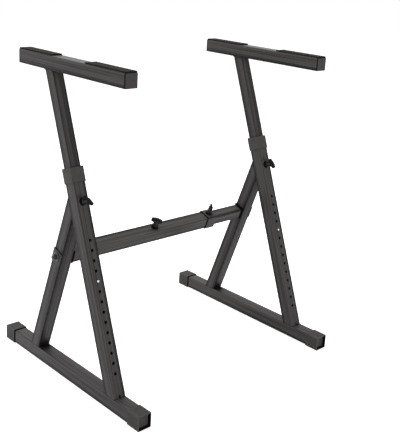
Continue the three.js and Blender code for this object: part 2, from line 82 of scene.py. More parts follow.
POST_ABOVE, POST_BELOW = 520.0, 62.0
# Height on the post below which it is painted black as shade
POST_SHADE_TOP = 110.0
ARM_FRONT, ARM_REAR = 299.8, 130.7
FRONT_PAD, REAR_PAD = 150.0, 140.0
PAD_WIDTH, PAD_THICKNESS, PAD_INSET = 33.0, 3.0, 1.0
PAD_CORNER, PAD_ROUNDING, PAD_RIM = 1.2, 0.8, 4.6

PLUG_FLANGE, PLUG_SHANK = 2.5, 16.0
BUTTON_PROUD, BUTTON_FOOT, BUTTON_FOOT_THICKNESS, BUTTON_DOME = 2.6, 5, 1.2, 2

SCREW = 8.0
BOSS, BOSS_HEIGHT = 18.0, 6.0
KNOB_STANDOFF = 0.9
WING_THICKNESS, WING_BEVEL = 6.5, 0.8
HOLLOW_X, HOLLOW_Z, HOLLOW_LIFT = 10.4, 16.4, 0.3
SOCKET_RADIUS, SOCKET_DEPTH = 4.3, 12.3
HEIGHT_KNOB_DROP = 82.8
MIDDLE_KNOB_REACH = 272.0
KNOB_TURNS = {
    "left_height": 130, "right_height": 114, "crossbar_middle": 136, "crossbar_collar": 46
}

CROSSBAR_DROP = 150.2
OUTER_LENGTH, INNER_LENGTH = 491.0, 477.0
END_PLATE, END_PLATE_THICKNESS, END_PLATE_CORNER = 37.5, 3.0, 2.0
SIDE_PLATE_THICKNESS, SIDE_PLATE_CORNER, SIDE_PLATE_BEVEL = 2.5, 3.0, 0.3
SIDE_PLATE_RISE, SIDE_PLATE_DROP = 17.5, 20.0
BOLT, HEX_WIDTH, BOLT_HEAD_HEIGHT, BOLT_TAIL = 8.0, 13.0, 5.5, 2.5
BOLT_HOLE = BOLT / 2 + GAP
THREADS, THREAD_PITCH, THREAD_DEPTH = 16, 1.25, 0.5
WASHER, WASHER_THICKNESS = 24.0, 2.0
NUT_HEIGHT, NUT_RING, NUT_RING_HEIGHT = 6.0, 12.0, 2.0

# Places that follow from the sizes
BASE_TOP = CAP_WALL + TUBE
TOP_FACE = (0, 0, BASE_TOP)
HOLE_PITCH = (LEG_LENGTH - HIGHEST_HOLE_DROP - LOWEST_HOLE_RISE) / (HOLE_COUNT - 1)
REST_RISE = LOWEST_HOLE_RISE + (HOLE_COUNT - REST_HOLE) * HOLE_PITCH
KNOB_RISE = LEG_LENGTH - HEIGHT_KNOB_DROP
CROSSBAR_END = SPREAD / 2 - HALF - END_PLATE_THICKNESS - 2 * GAP
COLLAR_TIP = OUTER_LENGTH - CROSSBAR_END + GAP + GUIDE_LIP
MIDDLE_X = MIDDLE_KNOB_REACH - CROSSBAR_END
COLLAR_X = COLLAR_TIP - COLLAR_LENGTH / 2

# Painted shade. A tube has points on its flats beside each corner, and sections near its ends,
# between which the painted shade on a corner fades out.
SHOULDER, SHADE_SHARE, END_BAND = 9.0, 0.2, 1.4
CORNER_BAND = TUBE_CORNER + SHADE_SHARE * SHOULDER + 0.2
FACE_MIDDLE = 10
ROUNDED_FROM, ROUNDED_RANGE, SHARP_FROM = 7.0, 0.4, 50
# Painted shade in the corner where the rear leg meets the base: its reach, where it has faded out,
# and the same behind the leg
FOOT_SHADE, FOOT_SHADE_FADE, FOOT_SHADE_BEHIND, FOOT_SHADE_BEHIND_FADE = 12.0, 30.0, 4, 10
# Length of the painted shade at the inner tube's end beside the right rear leg
INNER_END_SHADE = 5.0
SLACK = 0.1

# Weld beads: the lines that they follow, and their ripples
SEAM_WIDTH, SEAM_DEPTH = TUBE - 2.8, TUBE + 0.6
SEAM_SUNK, SEAM_CORNER, SEAM_STEP = 0.7, 2.5, 0.8
POST_SEAM = INNER + 0.8
LINE_REACH, INNER_FOOT_OUT = 15, 1.4
VENT_MOUTH, VENT_LINE_REACH, VENT_OUT = 4.6, 2.4, 1.2
BAR_SEAM_OUT, BAR_SEAM_CORNER = 0.4, 2.0
RIPPLE_PITCH, RIPPLE_DEPTH, RIPPLE_SLANT, RIPPLE_ROWS = 1.9, 0.14, 0.35, 4
WOBBLE_PITCH, WOBBLE = 4, 0.06
BEAD_SIDES = 10
BEAD_TIP, BEAD_TAPER = 0.25, 0.55


def turned(axis, angle):
    return Matrix.Rotation(angle, 4, axis)


def moved(x, y, z):
    return Matrix.Translation((x, y, z))


# Turns that lay Z to the front, the rear and the right
TO_FRONT, TO_REAR, TO_RIGHT = turned("X", QUARTER), turned("X", -QUARTER), turned("Y", QUARTER)

# Frames of a side's slanted pieces, seen from the side's own middle plane
FRONT_LEG = moved(
    0,
    FRONT_SETBACK - BASE_LENGTH / 2 + HALF * cos(FRONT_LEAN),
    BASE_TOP - HALF * sin(FRONT_LEAN),
) @ turned("X", -FRONT_LEAN)
heel = Vector((0, BASE_LENGTH / 2 - REAR_SETBACK, BASE_TOP))
crown = FRONT_LEG @ Vector((0, HALF, LEG_LENGTH - REAR_DROP))
heel_to_crown = (crown - heel).length
REAR_LEAN = atan2(heel.y - crown.y, crown.z - heel.z) - asin(HALF / heel_to_crown)
REAR_REACH = sqrt(heel_to_crown ** 2 - HALF ** 2)
REAR_LEG = moved(
    0, heel.y - HALF * cos(REAR_LEAN), heel.z - HALF * sin(REAR_LEAN)
) @ turned("X", REAR_LEAN)
POST = FRONT_LEG @ moved(0, 0, REST_RISE)
CROSSBAR = REAR_LEG @ moved(0, 0, REAR_REACH - CROSSBAR_DROP)
arm_root = POST @ Vector((0, 0, POST_ABOVE))
ARM = moved(0, arm_root.y, arm_root.z + HALF)

# Grain of moulded plastic: scale and depth of each layer
MOULDED = ((1700, 0.1), (5200, 0.04))
# Scales of the noise on tubes, across and along them; the tint and lines are painted reflections
TINT_SCALE, GLOSS_SCALE = (0.06, 0.004), (0.09, 0.006)
LINE_SCALE, SCUFF_SCALE = (0.24, 0.0022), (1.6, 0.02)
# Scale of the patches in the painted colour of rounded corners
EDGE_PATCH_SCALE = 160


# Materials
def node(tree, kind, **values):
    made = tree.nodes.new("ShaderNode" + kind)
    for name, value in values.items():
        setattr(made, name, value)
    return made


def noise(tree, coords, scale, detail=2.0, roughness=0.5):
    made = node(tree, "TexNoise")
    made.inputs["Scale"].default_value = scale
    made.inputs["Detail"].default_value = detail
    made.inputs["Roughness"].default_value = roughness
    tree.links.new(coords, made.inputs["Vector"])
    return made.outputs["Fac"]


def stretched(tree, scale, detail=2.0, roughness=0.5):
    """Noise drawn out along a piece's own Z, from scales across and along it."""
    along = node(tree, "Attribute", attribute_name="along").outputs["Vector"]
    stretch = node(tree, "VectorMath", operation="MULTIPLY")
    stretch.inputs[1].default_value = (scale[0], scale[0], scale[1])
    tree.links.new(along, stretch.inputs[0])
    return noise(tree, stretch.outputs[0], 1.0, detail, roughness)


def ranged(tree, value, low, high, from_low=0.3, from_high=0.7):
    made = node(tree, "MapRange")
    made.inputs["From Min"].default_value = from_low
    made.inputs["From Max"].default_value = from_high
    made.inputs["To Min"].default_value = low
    made.inputs["To Max"].default_value = high
    tree.links.new(value, made.inputs["Value"])
    return made.outputs["Result"]


def mixed(tree, factor, under, over):
    """Lays the colour over on under, which is a colour or a socket that carries one."""
    made = node(tree, "Mix", data_type="RGBA")
    tree.links.new(factor, made.inputs["Factor"])
    first, second = [socket for socket in made.inputs if socket.type == "RGBA"]
    if isinstance(under, tuple):
        first.default_value = (*under, 1)
    else:
        tree.links.new(under, first)
    second.default_value = (*over, 1)
    return [socket for socket in made.outputs if socket.type == "RGBA"][0]


def combined(tree, operation, first, second):
    made = node(tree, "Math", operation=operation)
    tree.links.new(first, made.inputs[0])
    tree.links.new(second, made.inputs[1])
    return made.outputs[0]


def finish_of(
    name, dark, light, rough, blotch=0, grain=(), metallic=0.0, specular=0.5, wear_and_painted_light=None,
    reflection_streaks=0.0, scuffs=None,
):
    """A surface with colour between dark and light, uneven gloss and layers of grain. blotch is
    the scale of its blotches. A strength of streaks draws tone and dark lines out along a tube in
    their place, as painted reflections. Rounded corners go to a colour that is painted shade on
    the tube coats, guides and knobs, a painted highlight on the caps, and a darker or lighter tone
    on other finishes; scuffs is the colour of marks along a tube."""
    made = bpy.data.materials.new(name)
    made.use_nodes = True
    tree = made.node_tree
    shader = tree.nodes["Principled BSDF"]
    shader.inputs["Metallic"].default_value = metallic
    shader.inputs["Specular IOR Level"].default_value = specular
    coords = node(tree, "TexCoord").outputs["Object"]
    # On a tube, tone and dark lines drawn out along it are painted reflections
    if reflection_streaks:
        tint, gloss = stretched(tree, TINT_SCALE), stretched(tree, GLOSS_SCALE)
    else:
        tint = noise(tree, coords, blotch, 6.0, 0.62)
        gloss = noise(tree, coords, blotch * 5, 4.0, 0.6)
    colour = mixed(tree, ranged(tree, tint, 0, 1), dark, light)
    if reflection_streaks:
        lines = ranged(tree, stretched(tree, LINE_SCALE), 0.0, reflection_streaks, 0.46, 0.66)
        colour = mixed(tree, lines, colour, tuple(0.3 * part for part in dark))
    # Rounded corners: painted shade on the tube coats, guides and knobs, a painted highlight on
    # caps
    if wear_and_painted_light:
        edge = node(tree, "Attribute", attribute_name="edge").outputs["Fac"]
        patches = ranged(tree, noise(tree, coords, EDGE_PATCH_SCALE, 5.0, 0.7), 0.6, 1.0, 0.4, 0.62)
        colour = mixed(tree, combined(tree, "MULTIPLY", edge, patches), colour, wear_and_painted_light)
    if scuffs:
        marks = ranged(tree, stretched(tree, SCUFF_SCALE, 4.0, 0.6), 0.0, 0.5, 0.58, 0.72)
        colour = mixed(tree, marks, colour, scuffs)
    tree.links.new(colour, shader.inputs["Base Color"])
    tree.links.new(ranged(tree, gloss, *rough), shader.inputs["Roughness"])
    normal = None
    for scale, depth in grain:
        bump = node(tree, "Bump")
        bump.inputs["Strength"].default_value = 1.0
        bump.inputs["Distance"].default_value = depth * MM
        tree.links.new(noise(tree, coords, scale), bump.inputs["Height"])
        if normal is not None:
            tree.links.new(normal, bump.inputs["Normal"])
        normal = bump.outputs["Normal"]
    tree.links.new(normal, shader.inputs["Normal"])
    return made


def coat(name, dark, light, scuffs=None):
    """A dark powder coat, with black painted shade on its corners and painted reflections streaked
    along a tube.
    """
    return finish_of(
        name, dark, light, (0.26, 0.36), grain=((900, 0.05), (3200, 0.02)), specular=0.09,
        wear_and_painted_light=(0.003, 0.0025, 0.0025), reflection_streaks=0.75, scuffs=scuffs,
    )


PAINT = coat("charcoal_powder_coat", (0.054, 0.049, 0.0484), (0.07, 0.0642, 0.0636))
# A darker copy of the coat paints shade on the posts, and a lighter copy paints light on the inner
# tube; the scuffs on both are marks
SHADED_POST_PAINT = coat(
    "post_powder_coat_painted_shade", (0.047, 0.0424, 0.0418), (0.06, 0.0548, 0.0542),
    scuffs=(0.075, 0.064, 0.064),
)
LIT_BAR_PAINT = coat(
    "scuffed_powder_coat_painted_light", (0.064, 0.0586, 0.058), (0.08, 0.074, 0.0734),
    scuffs=(0.09, 0.078, 0.078),
)
# Near black that paints the shade in the leg's holes, behind a rear cap and on the post inside the
# leg
DEEP_SHADE = finish_of(
    "painted_deep_shade", (0.001, 0.001, 0.001), (0.0025, 0.0023, 0.0022), (0.5, 0.62),
    60, grain=((1500, 0.04),), specular=0.03,
)
# Near black that paints the shade at welded joints and at the inner tube's end
WELD_SHADE = finish_of(
    "weld_painted_shade", (0.0015, 0.0014, 0.0014), (0.006, 0.0055, 0.0055), (0.35, 0.5),
    260, grain=((1300, 0.1), (4200, 0.04)), specular=0.04, wear_and_painted_light=(0.007, 0.0064, 0.0064),
)
GUIDE = finish_of(
    "guide_plastic", (0.054, 0.049, 0.0484), (0.066, 0.0605, 0.06), (0.4, 0.52),
    40, grain=((2200, 0.06),), specular=0.07, wear_and_painted_light=(0.01, 0.009, 0.009),
)
# Its lighter rounded edges are a painted highlight
CAP = finish_of(
    "cap_plastic", (0.04, 0.0368, 0.0354), (0.05, 0.0465, 0.0445), (0.5, 0.62),
    60, grain=MOULDED, specular=0.12, wear_and_painted_light=(0.068, 0.063, 0.061),
)
PLUG = finish_of(
    "plug_plastic", (0.04, 0.0355, 0.035), (0.048, 0.043, 0.0425), (0.5, 0.62),
    90, grain=MOULDED, specular=0.12, wear_and_painted_light=(0.004, 0.0036, 0.0036),
)
# Blotches from dark to light are painted highlights on the knob, and its black rounded edges
# painted shade
KNOB = finish_of(
    "knob_plastic", (0.012, 0.0112, 0.0112), (0.034, 0.032, 0.032), (0.2, 0.32),
    150, grain=((2600, 0.03),), specular=0.12, wear_and_painted_light=(0.0022, 0.002, 0.002),
)
BLACK_STEEL = finish_of(
    "black_steel", (0.0015, 0.0014, 0.0014), (0.0035, 0.0033, 0.0033), (0.34, 0.46),
    70, grain=((1800, 0.04),), specular=0.04, wear_and_painted_light=(0.005, 0.0046, 0.0046),
)
FIXING_STEEL = finish_of(
    "grey_fixing_steel", (0.026, 0.025, 0.0245), (0.044, 0.0425, 0.042), (0.28, 0.42),
    90, grain=((1800, 0.05),), specular=0.35, wear_and_painted_light=(0.09, 0.088, 0.086),
)
# Near black that paints the shade on rims and edges of caps, guides, plugs and side plates, and on
# the end plates
SHADE_BLACK = finish_of(
    "painted_shade_black", (0.001, 0.001, 0.001), (0.002, 0.002, 0.002), (0.6, 0.72),
    80, grain=((1700, 0.06),), specular=0.05,
)
RUBBER = finish_of(
    "pad_rubber", (0.01, 0.008, 0.0078), (0.0145, 0.0118, 0.0116), (0.68, 0.84),
    50, grain=((1400, 0.16), (4000, 0.06)), specular=0.1, wear_and_painted_light=(0.005, 0.0045, 0.0045),
)
CHROME = finish_of(
    "button_chrome", (0.72, 0.73, 0.74), (0.8, 0.81, 0.82), (0.08, 0.16),
    120, grain=((900, 0.01),), metallic=1.0,
)
SPRING = finish_of(
    "spring_steel", (0.36, 0.37, 0.38), (0.45, 0.46, 0.48), (0.28, 0.42),
    120, grain=((2500, 0.02),), metallic=1.0,
)
SLOTS = dict(
    painted_steel=PAINT, guide_plastic=GUIDE, cap_plastic=CAP, knob_plastic=KNOB,
    black_steel=BLACK_STEEL, pad_rubber=RUBBER, button_chrome=CHROME, spring_steel=SPRING,
)
# Weld beads: radius, first seed, whether closed, and finish of each kind. The near-black finish
# paints the shade at the boss, the crossbar's ends, the rear leg's inner foot and the vent, where
# the last two beads sit in the shade of the corner.
BEADS = {
    "boss": (1.1, 0, True, WELD_SHADE),
    "front_foot": (1.8, 3, False, PAINT),
    "rear_foot": (1.8, 13, True, PAINT),
    "crown": (1.8, 23, False, PAINT),
    "arm": (2.2, 33, True, PAINT),
    "crossbar": (0.9, 43, True, WELD_SHADE),
    "inner_foot": (3.2, 53, False, WELD_SHADE),
    "vent": (2.3, 63, False, WELD_SHADE),
}


# Forms
def on_circle(radius, turn):
    return radius * cos(turn), radius * sin(turn)


def circle(radius, steps):
    return [on_circle(radius, 2 * pi * i / steps) for i in range(steps)]


def ring(width, depth, corner, steps, shoulder=0.0):
    """A rounded rectangle as points, anticlockwise seen from +Z. With a shoulder it has points on
    the flats beside each corner."""
    points = []
    for quarter, (sx, sy) in enumerate(((1, 1), (-1, 1), (-1, -1), (1, -1))):
        centre_x, centre_y = sx * (width / 2 - corner), sy * (depth / 2 - corner)
        arc = []
        for i in range(steps + 1):
            x, y = on_circle(corner, QUARTER * (quarter + i / steps))
            arc.append((centre_x + x, centre_y + y))
        if shoulder:
            first, last = arc[0], arc[-1]
            for reach in (SHADE_SHARE * shoulder, shoulder):
                x, y = on_circle(reach, QUARTER * quarter)
                arc.insert(0, (first[0] + y, first[1] - x))
                x, y = on_circle(reach, QUARTER * (quarter + 1))
                arc.append((last[0] - y, last[1] + x))
        points += arc
    return points


def lofted(rows, loop):
    """Faces between rows of points. Without loop the first and last row are closed."""
    count = len(rows[0])
    verts = [p for row in rows for p in row]
    faces = []
    for r in range(len(rows) if loop else len(rows) - 1):
        a, b = r * count, (r + 1) % len(rows) * count
        for i in range(count):
            j = (i + 1) % count
            faces.append((a + i, a + j, b + j, b + i))
    if not loop:
        last = (len(rows) - 1) * count
        faces.append(tuple(reversed(range(count))))
        faces.append(tuple(last + i for i in range(count)))
    return verts, faces


def square_form(sections, loop=False, steps=6, shoulder=SHOULDER):
    """A form about Z from sections (side, corner, z). A side is a number or (width, depth), and z
    a number or a function of the place."""
    rows = []
    for side, corner, z in sections:
        width, depth = side if isinstance(side, tuple) else (side, side)
        points = ring(width, depth, corner, steps, shoulder)
        rows.append([(x, y, z(x, y) if callable(z) else z) for x, y in points])
    return lofted(rows, loop)


def turned_form(profile, steps, loop=False):
    """A turned form about Z from (radius, z) pairs, which ends on the axis without loop."""
    rows = [[(x, y, z) for x, y in circle(radius, steps)] for radius, z in profile]
    if loop:
        return lofted(rows, True)
    verts, faces = lofted(rows[1:-1], True)
    last = (len(rows) - 3) * steps
    faces = faces[:last]
    foot, top = len(verts), len(verts) + 1
    verts += [(0, 0, profile[0][1]), (0, 0, profile[-1][1])]
    for i in range(steps):
        j = (i + 1) % steps
        faces.append((foot, j, i))
        faces.append((top, last + i, last + j))
    return verts, faces


def rod_form(radius, low, high, steps=32):
    return turned_form([(0, low), (radius, low), (radius, high), (0, high)], steps)


def slab(outline, low, high):
    """An outline in XY, anticlockwise, made thick along Z."""
    return lofted([[(x, y, z) for x, y in outline] for z in (low, high)], False)


def round_edge(side, corner, radius, z, way, steps):
    """Sections of a rounded outer edge at height z. Way 1 opens out above it, -1 closes below."""
    out = []
    for i in range(steps + 1):
        across, along = on_circle(radius, QUARTER * i / steps)
        inset = radius - (along if way > 0 else across)
        rise = radius - across if way > 0 else along - radius
        out.append((side - 2 * inset, max(corner - inset, 0.4), z + rise))
    return out


def lifted(level, rise):
    """A height moved up, where it is a number or a function of the place."""
    return (lambda x, y: level(x, y) + rise) if callable(level) else level + rise


def local_plane(frame_matrix, point, normal):
    """Height along a frame's Z at which (x, y) meets a plane given outside the frame."""
    inverse = frame_matrix.inverted()
    p = inverse @ Vector(point)
    n = (inverse.to_3x3() @ Vector(normal)).normalized()
    return lambda x, y: p.z - (n.x * (x - p.x) + n.y * (y - p.y)) / n.z


def moved_form(form, matrix):
    return [tuple(matrix @ Vector(v)) for v in form[0]], form[1]


def joined_forms(*forms):
    verts, faces = [], []
    for form in forms:
        start = len(verts)
        verts += form[0]
        faces += [tuple(start + i for i in face) for face in form[1]]
    return verts, faces


# Objects
def object_of(name, form):
    mesh = bpy.data.meshes.new(name)
    mesh.from_pydata(form[0], [], form[1])
    mesh.update()
    made = bpy.data.objects.new(name, mesh)
    bpy.context.collection.objects.link(made)
    return made


def applied(made):
    """Turns an object's modifiers into plain mesh."""
    bpy.context.view_layer.update()
    depsgraph = bpy.context.evaluated_depsgraph_get()
    mesh = bpy.data.meshes.new_from_object(made.evaluated_get(depsgraph))
    old = made.data
    made.modifiers.clear()
    made.data = mesh
    bpy.data.meshes.remove(old)
    return made


def cut(made, form, operation="DIFFERENCE"):
    cutter = object_of("cutter", form)
    modifier = made.modifiers.new("cut", "BOOLEAN")
    modifier.operation = operation
    modifier.solver = "EXACT"
    modifier.object = cutter
    applied(made)
    mesh = cutter.data
    bpy.data.objects.remove(cutter)
    bpy.data.meshes.remove(mesh)
    return made


def bevelled(made, width, segments, angle):
    modifier = made.modifiers.new("bevel", "BEVEL")
    modifier.width = width
    modifier.segments = segments
    modifier.limit_method = "ANGLE"
    modifier.angle_limit = radians(angle)
    return applied(made)


def painted(made, first, *others):
    """Gives a piece a material, and others to the faces that a test of centre and normal picks."""
    made.data.materials.append(first)
    for material, test in others:
        made.data.materials.append(material)
        for face in made.data.polygons:
            if test(face.center, face.normal):
                face.material_index = len(made.data.materials) - 1


def mark_edges(mesh, shade_corners=None, contact_shaded=None):
    """Keeps each point's place in its piece's own frame, and how far it is on a rounded corner,
    where its finish paints shade or a highlight. The first test says by its place whether a point
    can count as one, which then takes in the points beside a tube's corners. The second picks
    points, by their place, that get the painted shade of a corner."""
    # Both are made before either is fetched, because making one ends a reference to another
    mesh.attributes.new("along", "FLOAT_VECTOR", "POINT")
    mesh.attributes.new("edge", "FLOAT", "POINT")
    along, edge = mesh.attributes["along"], mesh.attributes["edge"]
    turn = [0.0] * len(mesh.vertices)
    normals_at = {}
    for face in mesh.polygons:
        for ends in face.edge_keys:
            normals_at.setdefault(ends, []).append(face.normal)
    for ends, normals in normals_at.items():
        if len(normals) == 2:
            angle = degrees(normals[0].angle(normals[1], 0))
            if angle < SHARP_FROM:
                for end in ends:
                    turn[end] = max(turn[end], angle)
    for i, vertex in enumerate(mesh.vertices):
        place = vertex.co
        along.data[i].vector = place
        if shade_corners is None or shade_corners(place):
            edge.data[i].value = min(1.0, max(0.0, (turn[i] - ROUNDED_FROM) / ROUNDED_RANGE))
            if shade_corners and abs(abs(place.x) - abs(place.y)) < CORNER_BAND:
                edge.data[i].value = 1.0
        if contact_shaded and contact_shaded(place):
            edge.data[i].value = 1.0


def corners(place):
    """Whether a point of a tube lies at one of its four corners, not at a hole in a face."""
    return min(abs(place.x), abs(place.y)) > FACE_MIDDLE


def outer_corners(place):
    """The same without the corner between a tube's -X and -Y faces, which takes no painted shade.
    """
    return corners(place) and not (place.x < 0 and place.y < 0)


def lower_corners(place):
    """The same for the two corners of a base tube that lie low, which take painted shade."""
    return corners(place) and place.y > 0


def laid(
    made, place, body, slot_name, *nodes, angle=32.0, material=None, shade_corners=None, contact_shaded=None
):
    """Lays a piece at its place, gives it a finish and lets it ride on its body."""
    mark_edges(made.data, shade_corners, contact_shaded)
    made.data.transform(Matrix.Scale(MM, 4) @ place)
    if place.determinant() < 0:
        made.data.flip_normals()
    made.data.shade_smooth()
    made.data.set_sharp_from_angle(angle=radians(angle))
    modifier = made.modifiers.new("weighted", "WEIGHTED_NORMAL")
    modifier.keep_sharp = True
    applied(made)
    if not made.data.materials:
        made.data.materials.append(material or SLOTS[slot_name])
    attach(made, body)
    if nodes:
        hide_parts(*nodes)
    return made


# Welds
def bead(name, kind, loop, place, body, seed, normal=UP):
    """A rippled weld bead along a flat loop or line of points."""
    radius, first_seed, closed, material = BEADS[kind]
    rng = random.Random(first_seed + seed)
    normal = Vector(normal).normalized()
    points = [Vector(p) for p in loop]
    if closed:
        points.append(points[0])
    lengths = [0.0]
    for a, b in zip(points, points[1:]):
        lengths.append(lengths[-1] + (b - a).length)
    total = lengths[-1]
    ripples = round(total / RIPPLE_PITCH)
    count = ripples * RIPPLE_ROWS
    phase = rng.random()
    wobble = [rng.uniform(-1, 1) for _ in range(int(total / WOBBLE_PITCH) + 3)]
    rows = []
    k = 0
    for i in range(count + (0 if closed else 1)):
        s = total * i / count
        while k < len(lengths) - 2 and lengths[k + 1] < s:
            k += 1
        span = lengths[k + 1] - lengths[k]
        t = (s - lengths[k]) / span if span else 0
        centre = points[k].lerp(points[k + 1], t)
        # Corners are turned smoothly by blending with the neighbouring stretches
        along = (points[k + 1] - points[k]).normalized()
        before = (points[k] - points[k - 1]).normalized() if k else along
        after = (points[k + 2] - points[k + 1]).normalized() if k + 2 < len(points) else along
        if closed and k == 0:
            before = (points[-1] - points[-2]).normalized()
        if closed and k + 2 >= len(points):
            after = (points[1] - points[0]).normalized()
        side = (along * 2 + before * (1 - t) + after * t).cross(normal).normalized()
        w = s / WOBBLE_PITCH
        low, high = wobble[int(w)], wobble[int(w) + 1]
        if closed and total - s < WOBBLE_PITCH:
            high = wobble[0]
        swell = radius * (1 + WOBBLE * (low + (high - low) * (w - int(w))))
        if not closed:
            swell *= min(1, BEAD_TIP + min(s, total - s) / radius * BEAD_TAPER)
        row = []
        for j in range(BEAD_SIDES):
            turn = 2 * pi * j / BEAD_SIDES
            wave = ripples * i / count + phase - RIPPLE_SLANT * cos(turn)
            reach = swell * (1 - RIPPLE_DEPTH + RIPPLE_DEPTH * abs(sin(pi * wave)))
            x, y = on_circle(reach, turn)
            row.append(tuple(centre + side * x + normal * y))
        rows.append(row)
    made = object_of(name, lofted(rows, closed))
    return laid(made, place, body, "painted_steel", angle=70, material=material)


def seam(frame_matrix, point, width, depth, sunk=0.0):
    """The loop in which a square form of a frame meets a level plane. Its two sides along X are
    sunk in the plane."""
    plane = local_plane(frame_matrix, point, UP)
    loop = []
    for x, y in ring(width, depth, SEAM_CORNER, 5):
        share = max(0.0, min(1.0, (abs(x) - width / 2 + SEAM_CORNER) / SEAM_CORNER))
        place = frame_matrix @ Vector((x, y, plane(x, y)))
        loop.append(place - Vector(UP) * (sunk * share))
    return loop


def line_on(frame_matrix, level, y, reach=LINE_REACH):
    """A line along X, at a frame's y and at the level that a function gives."""
    return [frame_matrix @ Vector((x, y, level(x, y))) for x in (-reach, reach)]


def opened(loop, mouth, gap):
    """A loop cut open round the point mouth."""
    finer = []
    for a, b in zip(loop, loop[1:] + loop[:1]):
        pieces = max(1, int((b - a).length / SEAM_STEP))
        finer += [a.lerp(b, i / pieces) for i in range(pieces)]
    nearest = min(range(len(finer)), key=lambda i: (finer[i] - mouth).length)
    ordered = finer[nearest:] + finer[:nearest]
    return [p for p in ordered if (p - mouth).length > gap]


# Pieces
def hole_cutter(diameter, rise):
    """A rod through the front wall of a leg, wider at the face, for a deburred edge."""
    radius = diameter / 2
    profile = [(0, -CUT_REACH), (radius, -CUT_REACH), (radius, -BURR), (radius + BURR, 0)]
    profile += [(radius + BURR, CUT_REACH), (0, CUT_REACH)]
    return moved_form(turned_form(profile, 24), moved(0, -HALF, rise) @ TO_FRONT)


def vent_cutter():
    """The slot at the front leg's foot, open at the bottom."""
    outline = [(-VENT_RADIUS, -CUT_REACH), (VENT_RADIUS, -CUT_REACH)]
    for i in range(13):
        x, y = on_circle(VENT_RADIUS, pi * i / 12)
        outline.append((x, VENT_RISE - VENT_RADIUS + y))
    return moved_form(slab(outline, -CUT_REACH, CUT_REACH), moved(0, -HALF, 0) @ TO_FRONT)


def tube_object(name, section, low, high, splits=()):
    """A square tube from low to high, with its outer faces split at any heights given."""
    side, wall, corner = section
    bore = side - 2 * wall
    sections = [
        (side - 0.4, corner - 0.2, low),
        (side, corner, lifted(low, 0.2)),
        (side, corner, lifted(low, END_BAND)),
        *((side, corner, split) for split in splits),
        (side, corner, lifted(high, -END_BAND)),
        (side, corner, lifted(high, -0.2)),
        (side - 0.4, corner - 0.2, high),
        (bore, BORE_CORNER, high),
        (bore, BORE_CORNER, low),
    ]
    return object_of(name, square_form(sections, loop=True))


def cap_form():
    side = TUBE + 2 * CAP_WALL
    panel = side - 2 * CAP_PANEL_INSET
    bore, bore_corner = TUBE + 2 * GAP, TUBE_CORNER + GAP
    sections = [
        (panel - 4.0, 1.0, CAP_PANEL_DEPTH),
        (panel - 1.0, 1.0, CAP_PANEL_DEPTH),
        (panel, 1.5, CAP_PANEL_DEPTH - 0.5),
        (panel, 1.5, 0.3),
        (panel + 0.6, 1.8, 0.0),
        *round_edge(side, CAP_CORNER, 1.2, 0.0, 1, 4),
        (side, CAP_CORNER, 1.2 + END_BAND),
        (side, CAP_CORNER, CAP_LENGTH - END_BAND),
        *round_edge(side, CAP_CORNER, 0.4, CAP_LENGTH, -1, 2),
        (bore, bore_corner, CAP_LENGTH),
        (bore, bore_corner, CAP_END_WALL),
    ]
    return square_form(sections)


def cap_dark(centre, normal, way):
    """Whether a face of a cap lies in the shade: the walls of its recess, its lower corners and,
    on a rear cap, the rim against the base tube."""
    reach = max(abs(centre.x), abs(centre.y))
    side = HALF + CAP_WALL
    rim = way < 0 and centre.z > CAP_LENGTH - 0.3 and reach > HALF
    at_corner = 0.1 < abs(normal.x) and abs(centre.x) > side - CAP_CORNER
    low = at_corner and way * centre.y > side - 2.2
    recess = centre.z < CAP_PANEL_DEPTH - SLACK and reach < side - CAP_PANEL_INSET + SLACK
    return rim or low or recess


def cap_panel(centre, normal):
    """Whether a face of a cap is the panel at the bottom of its recess."""
    return normal.z < -0.5 and CAP_PANEL_DEPTH - 0.6 < centre.z < CAP_PANEL_DEPTH + SLACK


def guide_form(length, rim):
    """A guide with its lower rim marked off at a height."""
    side = TUBE + 2 * GUIDE_WALL
    lip, lip_corner = INNER + 2 * GAP, INNER_CORNER + GAP
    bore, bore_corner = TUBE + 2 * GAP, TUBE_CORNER + GAP
    sections = [
        *round_edge(side, GUIDE_CORNER, 0.4, 0.0, 1, 2),
        (side, GUIDE_CORNER, rim),
        (side, GUIDE_CORNER, length - 1.0 - END_BAND),
        *round_edge(side, GUIDE_CORNER, 1.0, length, -1, 3),
        (lip + 0.6, lip_corner + 0.3, length),
        (lip, lip_corner, length - 0.4),
        (lip, lip_corner, length - GUIDE_LIP),
        (bore, bore_corner, length - GUIDE_LIP),
        (bore, bore_corner, 0.0),
    ]
    return square_form(sections, loop=True)


def plug_form():
    shank = TUBE - 2 * TUBE_WALL - 2 * GAP - 2
    sections = [
        (TUBE - 4.0, 0.6, 0.0),
        *round_edge(TUBE, TUBE_CORNER, 1.0, 0.0, 1, 4),
        *round_edge(TUBE, TUBE_CORNER, 0.3, PLUG_FLANGE, -1, 2),
        (shank, BORE_CORNER, PLUG_FLANGE),
        (shank, BORE_CORNER, PLUG_FLANGE + PLUG_SHANK - 1),
        (shank - 2, 0.4, PLUG_FLANGE + PLUG_SHANK),
    ]
    return square_form(sections)


def pad_form(length):
    edge = PAD_THICKNESS - PAD_ROUNDING
    sections = [((PAD_WIDTH, length), PAD_CORNER, z) for z in (0.0, edge)]
    for i in range(1, 4):
        across, rise = on_circle(PAD_ROUNDING, QUARTER * i / 3)
        inset = PAD_ROUNDING - across
        size = (PAD_WIDTH - 2 * inset, length - 2 * inset)
        sections.append((size, PAD_CORNER - inset / 2, edge + rise))
    sections.append(((PAD_WIDTH - PAD_RIM, length - PAD_RIM), 0.5, PAD_THICKNESS))
    return square_form(sections, steps=3)


